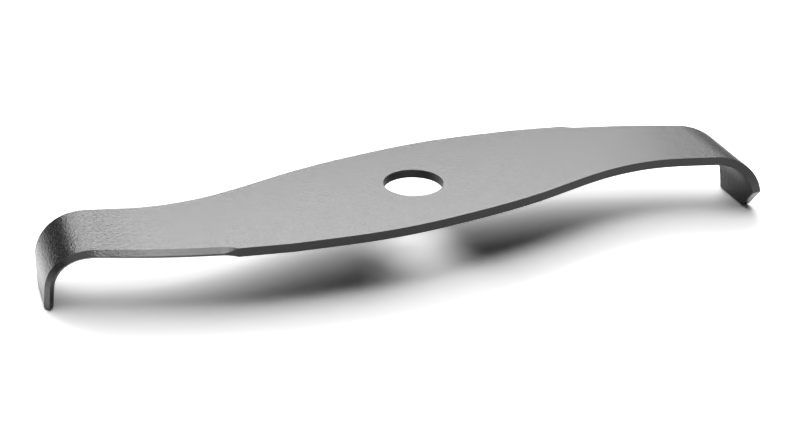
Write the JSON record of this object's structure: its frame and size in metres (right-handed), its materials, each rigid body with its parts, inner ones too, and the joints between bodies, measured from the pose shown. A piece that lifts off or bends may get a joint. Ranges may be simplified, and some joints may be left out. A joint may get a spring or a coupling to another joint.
{
  "type": "mulching blade",
  "caption": "Flat steel cutting bar with a central bore, S-shaped outline, ground double-bevel leading edges and both ends bent down.",
  "frame": {"origin": "centre of the arbor bore at mid-thickness of the flat plate", "axes": "+Z along the bore axis, out of the top face, with the bent tips pointing to -Z; +X along the blade towards one tip, whose leading edge is on the +Y side"},
  "size_m": [0.3198, 0.078, 0.0294],
  "materials": {
    "blade_steel": "satin"
  },
  "bodies": {
    "root": {"blade": "blade_steel"}
  },
  "joints": []
}
